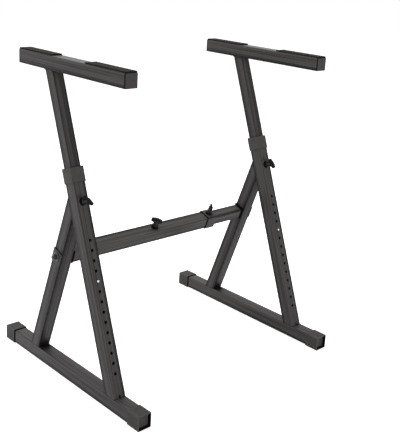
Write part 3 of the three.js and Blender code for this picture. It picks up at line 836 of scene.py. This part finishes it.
def knob_object(name):
    """A moulded wing knob: a turned hub with a flared foot, and a wing with hollowed faces."""
    hub = [(0, 0), (8.1, 0), (8.5, 0.4), (8.5, 1.5), (8.1, 2.1), (7.2, 3.4), (6.7, 5.0)]
    hub += [(6.5, 8.0), (6.5, 17.5), (6.1, 18.4), (5.0, 19.0), (0, 19.0)]
    # The wing's outline, as curves from start by control to end in steps
    outline = []
    for start, control, end, steps in (
        ((-15, 11.5), (-6.5, 11.5), (-6.5, 5), 8),
        ((6.5, 5), (6.5, 11.5), (15, 11.5), 8),
        ((15, 11.5), (15, 12), (15, 19), 2),
        ((15, 19), (15, 21), (13, 21), 4),
        ((13, 21), (0, 26), (-13, 21), 16),
        ((-13, 21), (-15, 21), (-15, 19), 4),
        ((-15, 19), (-15, 12), (-15, 11.5), 2),
    ):
        for i in range(steps):
            t = i / steps
            a, b, c = (1 - t) ** 2, 2 * t * (1 - t), t ** 2
            outline.append(tuple(a * p + b * q + c * r for p, q, r in zip(start, control, end)))
    face = WING_THICKNESS / 2
    wing = object_of(name, moved_form(slab(outline, -face, face), TO_FRONT))
    bevelled(wing, WING_BEVEL, 3, 50)
    hollow = square_form(
        [(5.2, 2.0, -1.0), (6.2, 2.4, 0.9), (6.6, 2.6, 2.0)], steps=4, shoulder=0.0
    )
    for side in (1, -1):
        for tip in (1, -1):
            mouth = moved(tip * HOLLOW_X, -side * face, HOLLOW_Z) @ turned("X", side * QUARTER)
            cut(wing, moved_form(hollow, mouth @ moved(0, 0, HOLLOW_LIFT)))
    cut(wing, turned_form(hub, 56), operation="UNION")
    return cut(wing, rod_form(SOCKET_RADIUS, -2, SOCKET_DEPTH))


def clamp(name, place, body, knob_body):
    """Boss, its weld and knob on a face, with Z out of it."""
    top = GAP + BOSS_HEIGHT
    bore = SCREW / 2 + GAP
    profile = [(bore, GAP), (BOSS / 2, GAP), (BOSS / 2, top - 0.9), (BOSS / 2 - 0.3, top - 0.3)]
    profile += [(BOSS / 2 - 0.9, top), (bore + 0.6, top), (bore, top - 0.6)]
    boss = object_of(name + "_boss_piece", turned_form(profile, 48, loop=True))
    laid(boss, place, body, "black_steel", name + "_boss")
    if name != "crossbar_collar":
        loop = [(x, y, 0.0) for x, y in circle(BOSS / 2 + GAP, 48)]
        # The weld round the boss is near black: painted shade
        bead(name + "_boss_weld", "boss", loop, place, body, len(name))
    turn = turned("Z", radians(KNOB_TURNS[name]))
    knob_place = place @ moved(0, 0, top + KNOB_STANDOFF) @ turn
    knob = knob_object(name + "_knob_piece")
    laid(knob, knob_place, knob_body, "knob_plastic", name + "_knob", angle=50)


def base_and_caps(name, body, across):
    """The base tube, painted with shade at the rear leg's foot and behind its rear cap, and its
    caps.
    """
    middle = CAP_WALL + HALF
    length = BASE_LENGTH - 2 * (CAP_END_WALL + GAP)
    gap_shade = CAP_LENGTH - CAP_END_WALL - GAP + CAP_GAP_SHADE
    foot = local_plane(REAR_LEG, TOP_FACE, UP)
    foot_shade = length / 2 + (REAR_LEG @ Vector((0, -HALF, foot(0, -HALF)))).y
    low, high = foot_shade - FOOT_SHADE, foot_shade + FOOT_SHADE_BEHIND
    fades = foot_shade - FOOT_SHADE_FADE, foot_shade + FOOT_SHADE_BEHIND_FADE
    splits = (gap_shade, fades[0], low, high, fades[1], length - gap_shade)
    base = tube_object(name + "_base_piece", OUTER_TUBE, 0.0, length, splits)
    # A band behind the rear cap is painted black as the shade of the gap
    painted(base, PAINT, (DEEP_SHADE, lambda c, n: c.z > length - gap_shade))
    # Its low corners and the stretch at the rear leg's foot take painted shade
    laid(
        base, across @ moved(0, -length / 2, middle) @ TO_REAR, body, "painted_steel",
        name + "_base_tube", shade_corners=lower_corners,
        contact_shaded=lambda p: p.y < SLACK - HALF and low - SLACK < p.z < high + SLACK,
    )
    for end, way in (("front", 1), ("rear", -1)):
        cap = object_of(f"{name}_{end}_cap_piece", cap_form())
        # The cap's recess walls, lower corners and a rear cap's rim are painted black as shade
        painted(cap, CAP, (SHADE_BLACK, lambda c, n: cap_dark(c, n, way)), (PLUG, cap_panel))
        place = across @ moved(0, -way * BASE_LENGTH / 2, middle) @ turned("X", -way * QUARTER)
        laid(cap, place, body, "cap_plastic", f"{name}_{end}_cap")


def front_leg(name, side, body, across):
    """The front leg with its holes, foot weld, sleeve and height clamp."""
    place = across @ FRONT_LEG
    foot = local_plane(FRONT_LEG, (0, 0, BASE_TOP + GAP), UP)
    leg = tube_object(name + "_front_leg_piece", OUTER_TUBE, foot, LEG_LENGTH)
    holes = [hole_cutter(HOLE, LOWEST_HOLE_RISE + i * HOLE_PITCH) for i in range(HOLE_COUNT)]
    cut(leg, joined_forms(*holes, vent_cutter(), hole_cutter(SCREW + 2 * GAP, KNOB_RISE)))

    def in_hole(centre, normal):
        in_wall = centre.y < TUBE_WALL - HALF + SLACK
        return in_wall and abs(centre.x) < HOLE_SIDE and abs(normal.y) < 0.8

    # The hole walls are painted black as shade in the holes
    painted(leg, PAINT, (DEEP_SHADE, in_hole))
    # Its outer corners take painted shade
    laid(leg, place, body, "painted_steel", name + "_front_leg", shade_corners=outer_corners)

    loop = seam(FRONT_LEG, TOP_FACE, SEAM_WIDTH, SEAM_DEPTH, SEAM_SUNK)
    loop = opened(loop, FRONT_LEG @ Vector((0, -HALF, 0)), VENT_MOUTH)
    bead(name + "_front_foot_weld", "front_foot", loop, across, body, side)
    # A near-black bead under the vent paints its shade
    mouth = line_on(FRONT_LEG, foot, -HALF - VENT_OUT, VENT_LINE_REACH)
    bead(name + "_vent_weld", "vent", mouth, across, body, side)

    def sleeve_dark(centre, normal):
        return centre.z < 0.3 or (normal.z > 0.5 and centre.z > SLEEVE_LENGTH - 0.8)

    sleeve = object_of(name + "_sleeve_piece", guide_form(SLEEVE_LENGTH, SLEEVE_RIM))
    # The sleeve's lower edge and upward faces at its top are painted black as shade
    painted(sleeve, GUIDE, (SHADE_BLACK, sleeve_dark))
    laid(
        sleeve, place @ moved(0, 0, LEG_LENGTH + GAP + GUIDE_LIP - SLEEVE_LENGTH), body,
        "guide_plastic", name + "_leg_sleeve", shade_corners=outer_corners,
    )
    face = place @ moved(0, -HALF, KNOB_RISE) @ TO_FRONT
    clamp(name + "_height", face, body, name + "_clamp")


def rear_leg(name, side, body, across):
    """The rear leg, painted with shade at its foot, with its welds on the base and the front leg.
    """
    foot = local_plane(REAR_LEG, (0, 0, BASE_TOP + GAP), UP)
    back = FRONT_LEG @ Vector((0, HALF + GAP, 0))
    back_way = FRONT_LEG.to_3x3() @ Vector((0, 1, 0))
    top = local_plane(REAR_LEG, back, back_way)
    splits = (lifted(foot, FOOT_SHADE), lifted(foot, FOOT_SHADE_FADE))
    leg = tube_object(name + "_rear_leg_piece", OUTER_TUBE, foot, top, splits)
    # Its corners and its front face near the foot take painted shade
    laid(
        leg, across @ REAR_LEG, body, "painted_steel", name + "_rear_leg", shade_corners=corners,
        contact_shaded=lambda p: p.y < SLACK - HALF and p.z < foot(p.x, p.y) + FOOT_SHADE + SLACK,
    )
    loop = seam(REAR_LEG, TOP_FACE, SEAM_WIDTH, SEAM_DEPTH, SEAM_SUNK)
    bead(name + "_rear_foot_weld", "rear_foot", loop, across, body, side)
    for end, y in (("upper", SEAM_DEPTH / 2), ("lower", -SEAM_DEPTH / 2)):
        line = line_on(REAR_LEG, top, y)
        bead(f"{name}_{end}_crown_weld", "crown", line, across, body, side, back_way)
    # A near-black bead before the foot paints the shade in that corner
    line = line_on(REAR_LEG, foot, -HALF - INNER_FOOT_OUT)
    bead(name + "_inner_foot_weld", "inner_foot", line, across, body, side)


def post_and_button(name, side, arm, across):
    """The post, painted black as shade low down inside the leg, with its weld on the arm and the
    snap button.
    """
    place = across @ POST
    under = local_plane(POST, (0, 0, arm_root.z - GAP), UP)
    post = tube_object(name + "_post_piece", INNER_TUBE, -POST_BELOW, under, (POST_SHADE_TOP,))
    cut(post, moved_form(rod_form(HOLE / 2, -5, 5, 24), moved(0, -INNER / 2, 0) @ TO_FRONT))
    # Below that height the post is painted black as shade, seen through the leg's holes
    painted(post, SHADED_POST_PAINT, (DEEP_SHADE, lambda c, n: c.z < POST_SHADE_TOP))
    laid(post, place, arm, "painted_steel", name + "_post", shade_corners=outer_corners)
    loop = seam(POST, arm_root, POST_SEAM, POST_SEAM)
    bead(name + "_arm_weld", "arm", loop, across, arm, side)

    radius = HOLE / 2 - GAP
    wall = INNER / 2 - INNER_WALL
    top = HALF - wall + BUTTON_PROUD
    foot = -GAP - BUTTON_FOOT_THICKNESS
    profile = [(0, foot), (BUTTON_FOOT, foot), (BUTTON_FOOT, -GAP), (radius, -GAP)]
    for i in range(8):
        turn = QUARTER * i / 8
        profile.append((radius * cos(turn), top - BUTTON_DOME + BUTTON_DOME * sin(turn)))
    profile.append((0, top))
    button = object_of(name + "_button_piece", turned_form(profile, 32))
    hole = place @ moved(0, -wall, 0) @ TO_FRONT
    laid(button, hole, name + "_button", "button_chrome", name + "_snap_button")


def arm_and_pads(name, arm, across):
    """The arm tube with a plug in each end and two pads on its top."""
    place = across @ ARM
    start = -ARM_FRONT + PLUG_FLANGE + GAP
    length = ARM_FRONT + ARM_REAR - 2 * (PLUG_FLANGE + GAP)
    tube = tube_object(name + "_arm_piece", OUTER_TUBE, 0.0, length)
    # Its outer corners take painted shade
    laid(
        tube, place @ moved(0, start, 0) @ TO_REAR, arm, "painted_steel", name + "_arm_tube",
        shade_corners=outer_corners,
    )
    for end, reach, way in (("front", ARM_FRONT, 1), ("rear", ARM_REAR, -1)):
        part = name + "_arm_" + end + "_plug"
        plug = object_of(part + "_piece", plug_form())
        # The plug's sides and flange edge are painted black as shade
        painted(plug, PLUG, (SHADE_BLACK, lambda c, n: n.z > -0.8))
        plug_place = place @ moved(0, -way * reach, 0) @ turned("X", -way * QUARTER)
        laid(plug, plug_place, arm, "cap_plastic", part)
    for end, length, y in (
        ("front", FRONT_PAD, PAD_INSET + FRONT_PAD / 2 - ARM_FRONT),
        ("rear", REAR_PAD, ARM_REAR - PAD_INSET - REAR_PAD / 2),
    ):
        part = f"{name}_{end}_pad"
        pad = object_of(part + "_piece", pad_form(length))
        laid(pad, place @ moved(0, y, HALF + GAP), arm, "pad_rubber", part)


def side_plate(name, body, place):
    """The plate on the rear leg's outer face, with rounded lower corners."""
    reach, arc = HALF, SIDE_PLATE_CORNER
    low = arc - SIDE_PLATE_DROP
    outline = [(reach, SIDE_PLATE_RISE), (-reach, SIDE_PLATE_RISE)]
    for x, start in ((arc - reach, 1.0), (reach - arc, 1.5)):
        for i in range(7):
            across, along = on_circle(arc, pi * (start + 0.5 * i / 6))
            outline.append((x + across, low + along))
    # The outline's X and Y become the leg's Y and Z
    upright = Matrix(((0, 0, 1, 0), (1, 0, 0, 0), (0, 1, 0, 0), (0, 0, 0, 1)))
    plate = object_of(name + "_side_plate_piece", slab(outline, 0.0, SIDE_PLATE_THICKNESS))
    cut(plate, rod_form(BOLT_HOLE, -2, 6))
    # The plate's top and front edges are painted black as shade
    painted(plate, PAINT, (SHADE_BLACK, lambda c, n: n.y > 0.5 or n.x < -0.5))
    bevelled(plate, SIDE_PLATE_BEVEL, 2, 40)
    laid(
        plate, place @ moved(HALF + GAP, 0, 0) @ upright, body, "painted_steel",
        name + "_side_plate", angle=40, shade_corners=lambda place: False,
    )


def washer_form():
    edge, top = WASHER / 2, WASHER_THICKNESS
    profile = [(BOLT_HOLE, 0.0), (edge - 0.3, 0.0), (edge, 0.3), (edge, top - 0.5)]
    profile += [(edge - 0.5, top), (BOLT_HOLE, top)]
    return turned_form(profile, 56, loop=True)


def nut_object(name):
    """A hexagon nut with rounded points and a ring for its lock on top."""
    hexagon = circle(HEX_WIDTH / sqrt(3), 6)
    nut = object_of(name, slab(hexagon, 0.0, NUT_HEIGHT))
    rounding = [(0, -0.4), (6.6, -0.4), (7.9, 0.5), (7.9, NUT_HEIGHT - 0.7)]
    rounding += [(6.4, NUT_HEIGHT + 0.2), (0, NUT_HEIGHT + 0.2)]
    cut(nut, turned_form(rounding, 48), operation="INTERSECT")
    edge, rim = NUT_RING / 2, NUT_HEIGHT + NUT_RING_HEIGHT
    band = [(0, 2.0), (edge, 2.0), (edge, rim - 0.8), (edge - 0.3, rim - 0.3)]
    band += [(edge - 0.9, rim), (0, rim)]
    cut(nut, turned_form(band, 48), operation="UNION")
    return cut(nut, rod_form(BOLT_HOLE, -2, rim + 2))


def bolt_object(name, head, tip):
    """A bolt with its head under the height head and a thread up to the height tip."""
    hexagon = circle(HEX_WIDTH / sqrt(3), 6)
    bolt = object_of(name, slab(hexagon, head - BOLT_HEAD_HEIGHT, head))
    radius = BOLT / 2
    shank = [(0, head - 2), (radius, head - 2)]
    start = tip - THREADS * THREAD_PITCH - 0.6
    for i in range(THREADS):
        crest = start + THREAD_PITCH * i
        shank += [(radius, crest), (radius - THREAD_DEPTH, crest + 0.62)]
    shank += [(radius, tip - 0.7), (radius - 0.7, tip), (0, tip)]
    return cut(bolt, turned_form(shank, 40), operation="UNION")


def crossbar_fixing(name, side, body, across):
    """What holds the crossbar to a rear leg, along X from the leg's centre line outwards."""
    place = across @ CROSSBAR @ turned("Z", 0 if side > 0 else pi)
    outwards = place @ TO_RIGHT
    side_plate(name, body, place)
    washer_foot = HALF + SIDE_PLATE_THICKNESS + 2 * GAP
    nut_foot = washer_foot + WASHER_THICKNESS + GAP
    tip = nut_foot + NUT_HEIGHT + NUT_RING_HEIGHT + BOLT_TAIL
    head = -(HALF + END_PLATE_THICKNESS + 2 * GAP)
    washer = object_of(name + "_washer_piece", washer_form())
    nut = nut_object(name + "_nut_piece")
    bolt = bolt_object(name + "_bolt_piece", head, tip)
    for made, foot, part in (
        (washer, washer_foot, "_crossbar_washer"),
        (nut, nut_foot, "_crossbar_nut"),
        (bolt, 0, "_crossbar_bolt"),
    ):
        where = outwards @ moved(0, 0, foot)
        laid(made, where, body, "black_steel", name + part, material=FIXING_STEEL)

    sections = []
    for z, way in ((0.0, 1), (END_PLATE_THICKNESS, -1)):
        sections += round_edge(END_PLATE, END_PLATE_CORNER, 0.4, z, way, 2)
    plate = object_of(name + "_end_plate_piece", square_form(sections, steps=4))
    cut(plate, rod_form(BOLT_HOLE, -2, 6))
    where = place @ moved(-HALF - GAP, 0, 0) @ turned("Y", -QUARTER)
    # The black plate is made near black to paint the shade at the joint
    laid(plate, where, body, "black_steel", name + "_end_plate", material=SHADE_BLACK)


def side_frame(name, side):
    across = moved(side * SPREAD / 2, 0, 0)
    body, arm = name + "_side", name + "_arm"
    base_and_caps(name, body, across)
    front_leg(name, side, body, across)
    rear_leg(name, side, body, across)
    post_and_button(name, side, arm, across)
    arm_and_pads(name, arm, across)
    crossbar_fixing(name, side, body, across)


def crossbar():
    outer = tube_object("crossbar_outer_piece", OUTER_TUBE, 0.0, OUTER_LENGTH)
    place = CROSSBAR @ moved(-CROSSBAR_END, 0, 0) @ TO_RIGHT
    # Its outer corners take painted shade
    laid(
        outer, place, "left_side", "painted_steel", "crossbar_outer_tube", shade_corners=outer_corners
    )
    # The inner tube's end beside the right rear leg is painted near black as shade at the joint
    scale = INNER_LENGTH - INNER_END_SHADE
    inner = tube_object("crossbar_inner_piece", INNER_TUBE, 0.0, INNER_LENGTH, (scale,))
    painted(inner, LIT_BAR_PAINT, (WELD_SHADE, lambda c, n: c.z > scale))
    place = CROSSBAR @ moved(CROSSBAR_END - INNER_LENGTH, 0, 0) @ TO_RIGHT
    laid(inner, place, "right_side", "painted_steel", "crossbar_inner_tube", shade_corners=corners)
    for name, side, width in (("left", -1, TUBE), ("right", 1, INNER)):
        size = width + BAR_SEAM_OUT
        loop = [(side * CROSSBAR_END, x, y) for x, y in ring(size, size, BAR_SEAM_CORNER, 5)]
        weld = "crossbar_" + name + "_weld"
        # Near-black beads paint the shade at the crossbar's ends
        bead(weld, "crossbar", loop, CROSSBAR, name + "_side", side, (side, 0, 0))
    collar = object_of("crossbar_collar_piece", guide_form(COLLAR_LENGTH, COLLAR_RIM))
    opening = moved(0, 0, COLLAR_LENGTH / 2) @ turned("Y", -QUARTER)
    cut(collar, moved_form(rod_form(BOSS / 2 + GAP, 10, 25, 40), opening))
    # The collar's open end is painted black as shade
    painted(collar, GUIDE, (SHADE_BLACK, lambda c, n: c.z < COLLAR_RIM))
    place = CROSSBAR @ moved(COLLAR_TIP - COLLAR_LENGTH, 0, 0) @ TO_RIGHT
    laid(collar, place, "left_side", "guide_plastic", "crossbar_collar", shade_corners=corners)
    for name, x in (("middle", MIDDLE_X), ("collar", COLLAR_X)):
        face = CROSSBAR @ moved(x, 0, HALF)
        clamp("crossbar_" + name, face, "left_side", name + "_clamp")


side_frame("left", -1)
side_frame("right", 1)
crossbar()

# CAD nodes that stay get the finish of their slot
slot_of = {part["node"]: part["material_slot"] for part in frame["record"]["subparts"]}
for node_name, cad in frame["nodes"].items():
    cad.data.materials.clear()
    cad.data.materials.append(SLOTS[slot_of[node_name]])


# Floor, light and camera
FLOOR_REACH = 9000
# The floor's own white near the middle and far out, to the camera and in reflections, and the
# distances in metres between which it rises
FLOOR_SEEN, FLOOR_MIRRORED, FLOOR_RISE = (0.72, 0.96), (0.48, 0.9), (0.7, 3.0)
# The world's white on surfaces, and where it is seen itself
WORLD_LIGHT, WORLD_SEEN = 0.25, 1.0
# Lamps: place, target, size in metres and power in watts
LAMPS = {
    "left_light": ((-3.6, 1.4, 2.8), (-0.2, 0, 0.55), 2.5, 115),
    "top_light": ((0.3, 1.0, 2.7), (0.1, 0, 0.3), 2.4, 70),
    "front_light": ((0.3, -3.6, 0.5), (0.1, 0, 0.4), 1.6, 88),
}


def reflected(tree, path):
    """1 for the rays that see the room in or through a surface."""
    return combined(tree, "MAXIMUM", path["Is Glossy Ray"], path["Is Transmission Ray"])


def white_world():
    """A world that is white to the camera and in reflections, and dimmer as a light."""
    world = bpy.data.worlds.new("room")
    bpy.context.scene.world = world
    world.use_nodes = True
    tree = world.node_tree
    background = tree.nodes["Background"]
    path = node(tree, "LightPath").outputs
    seen = combined(tree, "MAXIMUM", path["Is Camera Ray"], reflected(tree, path))
    background.inputs["Color"].default_value = (1, 1, 1, 1)
    strength = ranged(tree, seen, WORLD_LIGHT, WORLD_SEEN, 0.0, 1.0)
    tree.links.new(strength, background.inputs["Strength"])


def white_floor():
    """A white floor that keeps the shadow."""
    square = [(x, y, 0) for x, y in ((-1, -1), (1, -1), (1, 1), (-1, 1))]
    floor = object_of("floor", (square, [(0, 1, 2, 3)]))
    floor.data.transform(Matrix.Scale(FLOOR_REACH * MM, 4))
    finish = bpy.data.materials.new("white_floor")
    finish.use_nodes = True
    tree = finish.node_tree
    shader = tree.nodes["Principled BSDF"]
    shader.inputs["Base Color"].default_value = (0.8, 0.8, 0.8, 1)
    shader.inputs["Roughness"].default_value = 0.9
    shader.inputs["Specular IOR Level"].default_value = 0.0
    # Lamps light the floor less further out, so its own white rises there
    far = node(tree, "VectorMath", operation="LENGTH")
    tree.links.new(node(tree, "TexCoord").outputs["Object"], far.inputs[0])
    path = node(tree, "LightPath").outputs
    whites = []
    for levels, rays in (
        (FLOOR_SEEN, path["Is Camera Ray"]),
        (FLOOR_MIRRORED, reflected(tree, path)),
    ):
        level = ranged(tree, far.outputs["Value"], *levels, *FLOOR_RISE)
        whites.append(combined(tree, "MULTIPLY", level, rays))
    shader.inputs["Emission Color"].default_value = (1, 1, 1, 1)
    tree.links.new(combined(tree, "ADD", *whites), shader.inputs["Emission Strength"])
    floor.data.materials.append(finish)


def softbox(name, place, target, size, power):
    """A square lamp that surfaces don't mirror."""
    light = bpy.data.lights.new(name, "AREA")
    light.shape = "RECTANGLE"
    light.size = light.size_y = size
    light.energy = power
    lamp = bpy.data.objects.new(name, light)
    lamp.visible_glossy = False
    bpy.context.collection.objects.link(lamp)
    lamp.location = place
    lamp.rotation_mode = "QUATERNION"
    lamp.rotation_quaternion = (Vector(target) - Vector(place)).to_track_quat("-Z", "Y")


white_world()
white_floor()
for lamp_name, setting in LAMPS.items():
    softbox(lamp_name, *setting)

# The photograph's camera: place in metres, angles in radians, focal length and principal point
# in pixels of its 400 x 437 frame
CAMERA_PLACE = (-1.401322, -1.555623, 1.082859)
YAW, PITCH, ROLL = 0.7635388, -0.2577696, 0.0557043
FOCAL, CENTRE_SHIFT, CENTRE_LIFT = 809.1296, 0.4, 55.5061
FRAME_HEIGHT = 437

forward = Vector(
    (sin(YAW) * cos(PITCH), cos(YAW) * cos(PITCH), sin(PITCH))
)
level = Vector((cos(YAW), -sin(YAW), 0))
upward = level.cross(forward)
right = cos(ROLL) * level + sin(ROLL) * upward
up = -sin(ROLL) * level + cos(ROLL) * upward
lens = bpy.data.cameras.new("camera")
lens.sensor_width = 36
lens.lens = FOCAL * lens.sensor_width / FRAME_HEIGHT
lens.shift_x = CENTRE_SHIFT / FRAME_HEIGHT
lens.shift_y = -CENTRE_LIFT / FRAME_HEIGHT
lens.clip_end = 50
camera = bpy.data.objects.new("camera", lens)
bpy.context.collection.objects.link(camera)
axes = Matrix((right, up, -forward)).transposed().to_4x4()
camera.matrix_world = Matrix.Translation(CAMERA_PLACE) @ axes
bpy.context.scene.camera = camera
bpy.context.scene.view_settings.view_transform = "Standard"
